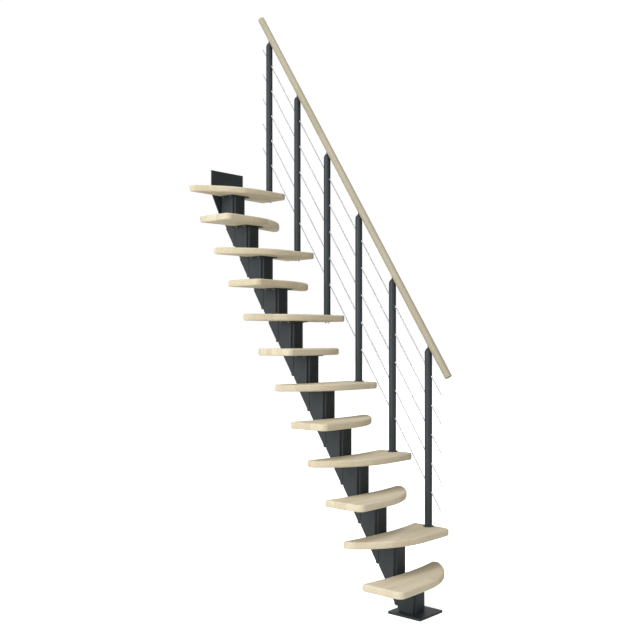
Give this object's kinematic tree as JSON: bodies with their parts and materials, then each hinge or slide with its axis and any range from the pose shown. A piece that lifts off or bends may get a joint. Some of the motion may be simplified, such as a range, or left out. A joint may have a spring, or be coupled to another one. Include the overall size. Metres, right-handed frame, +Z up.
{
  "type": "central stringer staircase",
  "caption": "Narrow straight stair of alternating wooden treads on a central steel spine, with a steel post and rod balustrade and a round wooden handrail.",
  "frame": {"origin": "centre of the foot plate's underside, at floor level", "axes": "+X to the right when going up, +Y the way the flight climbs, +Z up"},
  "size_m": [0.64, 1.616, 3.5868],
  "materials": {
    "steel_powder_coat": "satin anthracite powder coat",
    "oiled_wood": "white-oiled, matt",
    "stainless": "brushed"
  },
  "bodies": {
    "root": {"foot_plate": "steel_powder_coat", "wall_plate": "steel_powder_coat", "spine_module_01": "steel_powder_coat", "spine_module_02": "steel_powder_coat", "spine_module_03": "steel_powder_coat", "spine_module_04": "steel_powder_coat", "spine_module_05": "steel_powder_coat", "spine_module_06": "steel_powder_coat", "spine_module_07": "steel_powder_coat", "spine_module_08": "steel_powder_coat", "spine_module_09": "steel_powder_coat", "spine_module_10": "steel_powder_coat", "spine_module_11": "steel_powder_coat", "spine_module_12": "steel_powder_coat", "tread_01": "oiled_wood", "tread_02": "oiled_wood", "tread_03": "oiled_wood", "tread_04": "oiled_wood", "tread_05": "oiled_wood", "tread_06": "oiled_wood", "tread_07": "oiled_wood", "tread_08": "oiled_wood", "tread_09": "oiled_wood", "tread_10": "oiled_wood", "tread_11": "oiled_wood", "tread_12": "oiled_wood", "post_1": "steel_powder_coat", "post_2": "steel_powder_coat", "post_3": "steel_powder_coat", "post_4": "steel_powder_coat", "post_5": "steel_powder_coat", "post_6": "steel_powder_coat", "handrail": "oiled_wood", "rail_brackets": "steel_powder_coat", "rod_1": "stainless", "rod_2": "stainless", "rod_3": "stainless", "rod_4": "stainless", "rod_5": "stainless"}
  },
  "joints": []
}
